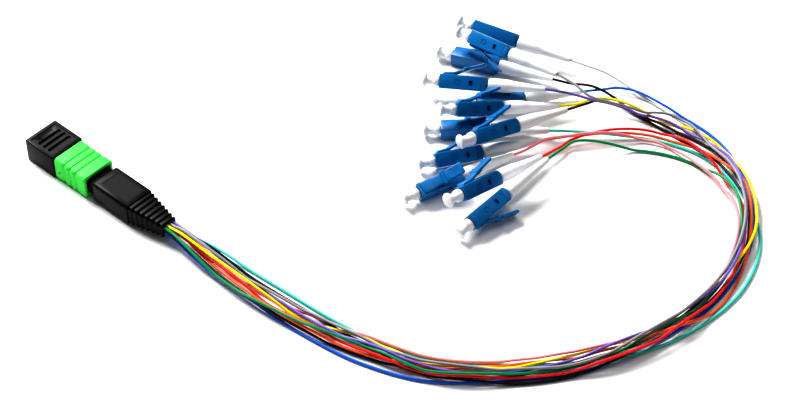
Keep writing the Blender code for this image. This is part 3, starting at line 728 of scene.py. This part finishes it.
def smooth_curve(points, spacing):
    """Points at an even spacing along a smooth curve through the given ones."""
    pts = [2 * points[0] - points[1], *points, 2 * points[-1] - points[-2]]
    dense = []
    for a, b, c, d in zip(pts, pts[1:], pts[2:], pts[3:]):
        k0, k1, k2 = (math.sqrt(np.linalg.norm(q - p)) for p, q in ((a, b), (b, c), (c, d)))
        for t in np.linspace(0, 1, CURVE_STEPS, endpoint=False):
            u = k0 + t * k1
            ab = ((k0 - u) * a + u * b) / k0
            bc = ((k0 + k1 - u) * b + (u - k0) * c) / k1
            cd = ((k0 + k1 + k2 - u) * c + (u - k0 - k1) * d) / k2
            abc = ((k0 + k1 - u) * ab + u * bc) / (k0 + k1)
            bcd = ((k0 + k1 + k2 - u) * bc + (u - k0) * cd) / (k1 + k2)
            dense.append(((k0 + k1 - u) * abc + (u - k0) * bcd) / k1)
    dense.append(points[-1])
    dense = np.array(dense)
    run = run_along(dense)
    return resampled(dense, run, max(2, round(run[-1] / spacing) + 1))


def plan_route(column, lanes, tail, direction):
    """The fibre's way seen from above, from the boot's mouth to its small plug's tail."""
    middle = np.array(STATIONS, float) * MM
    ahead = np.gradient(middle, axis=0)
    ahead /= np.linalg.norm(ahead, axis=1)[:, None]
    outside = np.stack([ahead[:, 1], -ahead[:, 0]], axis=1)
    side = -(column - MIDDLE_COLUMN) * EXIT_PITCH
    start = np.array([BOOT_END_X + GAP, side])
    points = [start, start + [LEAD_OUT, 0]]
    points += list(middle + outside * (np.array(lanes) * MM)[:, None])
    points += [tail + 2 * LEAD_IN * direction, tail + LEAD_IN * direction, tail]
    return smooth_curve(points, ROUTE_SAMPLE)


def ease(share):
    """A smooth fall from 1 to 0 over a share from 0 to 1."""
    t = np.clip(share, 0, 1)
    return (1 - t) ** 2 * (1 + 2 * t)


def own_heights(plan, start_height, end_height, end_slope):
    """The fibre's heights if it lay alone: it sags to the floor from both its ends."""
    run = run_along(plan)
    left = run[-1] - run
    rest = FIBRE_RADIUS + GAP / 2
    height = rest + (start_height - rest) * ease(run / SAG_RUN)
    height += (end_height - rest) * ease(left / SAG_RUN)
    share = np.clip(left / SAG_RUN, 0, 1)
    return height + end_slope * SAG_RUN * share * (1 - share) ** 2


def lay_fibres(plans, heights):
    """Lay the fibres one after another, each in low humps over the ones that it crosses."""
    reach = FIBRE_DIAMETER + CROSSING_GAP
    window = np.ones(SMOOTHING_SAMPLES) / SMOOTHING_SAMPLES
    edge = SMOOTHING_SAMPLES // 2
    laid = []
    for plan, height in zip(plans, heights):
        run = run_along(plan)
        needed = height.copy()
        for under in laid:
            apart = np.linalg.norm(plan[:, None] - under[None, :, :2], axis=2)
            lift = np.sqrt(np.maximum(reach ** 2 - apart ** 2, 0))
            over = np.where(apart < reach, under[:, 2] + lift, 0)
            needed = np.maximum(needed, over.max(axis=1))
        along = np.abs(run[:, None] - run[None, :])
        hump = (needed[None, :] - along ** 2 / (2 * HUMP_RADIUS)).max(axis=1)
        smooth = np.convolve(np.pad(hump, edge, "edge"), window, "valid")
        ends = np.maximum(ease(run / MOUTH_RUN), ease((run[-1] - run) / LEAD_IN))
        laid.append(np.column_stack([plan, smooth * (1 - ends) + height * ends]))
    return laid


def make_fibre(name, path, finish, direction):
    """A fibre as one curve. Both its ends run on a little way inside the boots."""
    start = path[0] - np.array([GAP + HIDDEN_START, 0, 0])
    end = path[-1] - np.array(direction) * HIDDEN_END
    points = np.vstack([start, resampled(path, run_along(path), FIBRE_POINTS), end])
    data = bpy.data.curves.new(name, "CURVE")
    data.dimensions = "3D"
    data.bevel_depth = FIBRE_RADIUS
    data.bevel_resolution = 4
    data.use_fill_caps = True
    spline = data.splines.new("POLY")
    spline.points.add(len(points) - 1)
    spline.points.foreach_set("co", np.column_stack([points, np.ones(len(points))]).ravel())
    spline.use_smooth = True
    made = bpy.data.objects.new(name, data)
    data.materials.append(finish)
    bpy.context.collection.objects.link(made)
    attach(made, "cable")
    return made, run_along(points)[-1]


def make_legs():
    """The twelve small plugs with their fibres."""
    shapes = {"free": housing_mesh(FREE_LATCH), "pressed": housing_mesh(PRESSED_LATCH)}
    plans = []
    heights = []
    matrices = []
    for _, _, (column, row), lanes, front, angles in LEGS:
        matrix = plug_matrix(front, angles)
        tail = matrix @ Vector((BODY_LENGTH + 2 * GAP + TAIL_BOOT_LENGTH, 0, 0))
        axis = matrix.to_3x3() @ Vector((1, 0, 0))
        plan = plan_route(column, lanes, np.array(tail[:2]), np.array(axis[:2]))
        plans.append(plan)
        exit_height = AXIS_HEIGHT + (row - MIDDLE_ROW) * EXIT_PITCH
        heights.append(own_heights(plan, exit_height, tail[2], axis[2]))
        matrices.append(matrix)
    for (name, colour, *_), matrix, path in zip(LEGS, matrices, lay_fibres(plans, heights)):
        shape = shapes["pressed" if name in PRESSED_LATCHES else "free"]
        housing = piece(f"housing_{name}", shape.copy(), BLUE, "cable", bevel=0.05 * MM,
                        crease=34, matrix=matrix)
        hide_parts(f"plug_body_{name}")
        pin = piece(f"pin_{name}", pin_bmesh(), CERAMIC, "cable", crease=34, matrix=matrix)
        boot = piece(f"boot_{name}", tail_boot_bmesh(), WHITE, "cable", crease=50, matrix=matrix)
        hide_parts(f"plug_boot_{name}")
        cap = piece(f"tip_cap_{name}", tip_cap_bmesh(), WHITE, f"cap_{name}", crease=50,
                    matrix=matrix)
        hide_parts(f"plug_cap_{name}")
        finish = moulded(f"buffer_{name}", colour, roughness=0.34, grain=0.003 * MM, mottle=0.04,
                         shine=0.18)
        back = matrix.to_3x3() @ Vector((1, 0, 0))
        fibre, length = make_fibre(f"strand_{name}", path, finish, back)
        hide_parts(f"fibre_{name}")
    for shape in shapes.values():
        shape.free()


make_legs()
make_ribbon_cap()
make_sleeve()
make_core()
make_ribbed_boot()


# Floor, background and light
FLOOR_HALF_SIDE = 3.0
FLOOR_PLACE = (0.07, 0.07, -0.00005)
LIGHT_TARGET = Vector((0.075, 0.06, 0.0))
AWAY = Vector((-0.67, 0.742, 0))
RIGHT = Vector((0.742, 0.67, 0))
UP = Vector((0, 0, 1))


def floor_material():
    """Pale, dull paper with faint clouds."""
    made = bpy.data.materials.new("pale_floor")
    made.use_nodes = True
    nodes = made.node_tree.nodes
    links = made.node_tree.links
    shader = nodes["Principled BSDF"]
    cloud = noise(nodes, links, nodes.new("ShaderNodeTexCoord"), 3)
    tones = nodes.new("ShaderNodeValToRGB")
    tones.color_ramp.elements[0].color = (0.90, 0.90, 0.905, 1)
    tones.color_ramp.elements[1].color = (0.92, 0.92, 0.92, 1)
    links.new(cloud.outputs["Fac"], tones.inputs["Fac"])
    links.new(tones.outputs["Color"], shader.inputs["Base Color"])
    shader.inputs["Roughness"].default_value = 0.9
    shader.inputs["Specular IOR Level"].default_value = 0.1
    return made


def area_light(name, direction, distance, size, energy):
    """A round light that shines on the cable from a direction."""
    data = bpy.data.lights.new(name, "AREA")
    data.shape = "DISK"
    data.size = size
    data.energy = energy
    made = bpy.data.objects.new(name, data)
    made.location = LIGHT_TARGET + direction.normalized() * distance
    made.rotation_euler = (-direction).to_track_quat("-Z", "Y").to_euler()
    bpy.context.collection.objects.link(made)


floor_bm = bmesh.new()
bmesh.ops.create_grid(floor_bm, x_segments=1, y_segments=1, size=FLOOR_HALF_SIDE)
floor_mesh = bpy.data.meshes.new("floor")
floor_bm.to_mesh(floor_mesh)
floor_bm.free()
floor = bpy.data.objects.new("floor", floor_mesh)
floor.data.materials.append(floor_material())
floor.location = FLOOR_PLACE
bpy.context.collection.objects.link(floor)

world = bpy.data.worlds.new("studio")
bpy.context.scene.world = world
world.use_nodes = True
world.node_tree.nodes["Background"].inputs["Color"].default_value = (1, 1, 1, 1)
world.node_tree.nodes["Background"].inputs["Strength"].default_value = 0.12
bpy.context.scene.view_settings.view_transform = "Standard"
bpy.context.scene.view_settings.look = "High Contrast"

area_light("key", AWAY * 0.8 - RIGHT * 0.65 + UP, distance=3.0, size=1.5, energy=165)
area_light("top", UP + AWAY * 0.15 + RIGHT * 0.2, distance=3.0, size=2.2, energy=19)
